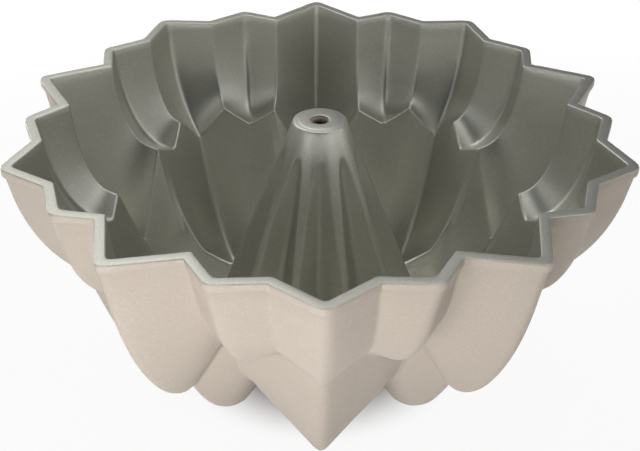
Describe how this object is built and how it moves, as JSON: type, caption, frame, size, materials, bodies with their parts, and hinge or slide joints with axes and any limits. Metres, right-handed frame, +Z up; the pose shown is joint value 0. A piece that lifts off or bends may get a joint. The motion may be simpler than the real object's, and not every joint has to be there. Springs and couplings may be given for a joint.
{
  "type": "fluted tube pan",
  "caption": "Cast fluted ring cake pan with keeled flutes, stepped petals, a flat lip and a ribbed central tube open through its top.",
  "frame": {"origin": "on the axis, in the plane of the feet", "axes": "+Z up along the tube, -Y towards one keel, which is the front in the picture"},
  "size_m": [0.245, 0.2576, 0.1178],
  "materials": {
    "cast_aluminium": "as cast, ground at the feet",
    "nonstick_lining": "grey metallic non-stick, satin",
    "exterior_coat": "champagne metallic coat, fine fleck, satin"
  },
  "bodies": {
    "root": {"cast_body": "cast_aluminium", "nonstick_lining": "nonstick_lining", "exterior_coat": "exterior_coat"}
  },
  "joints": []
}
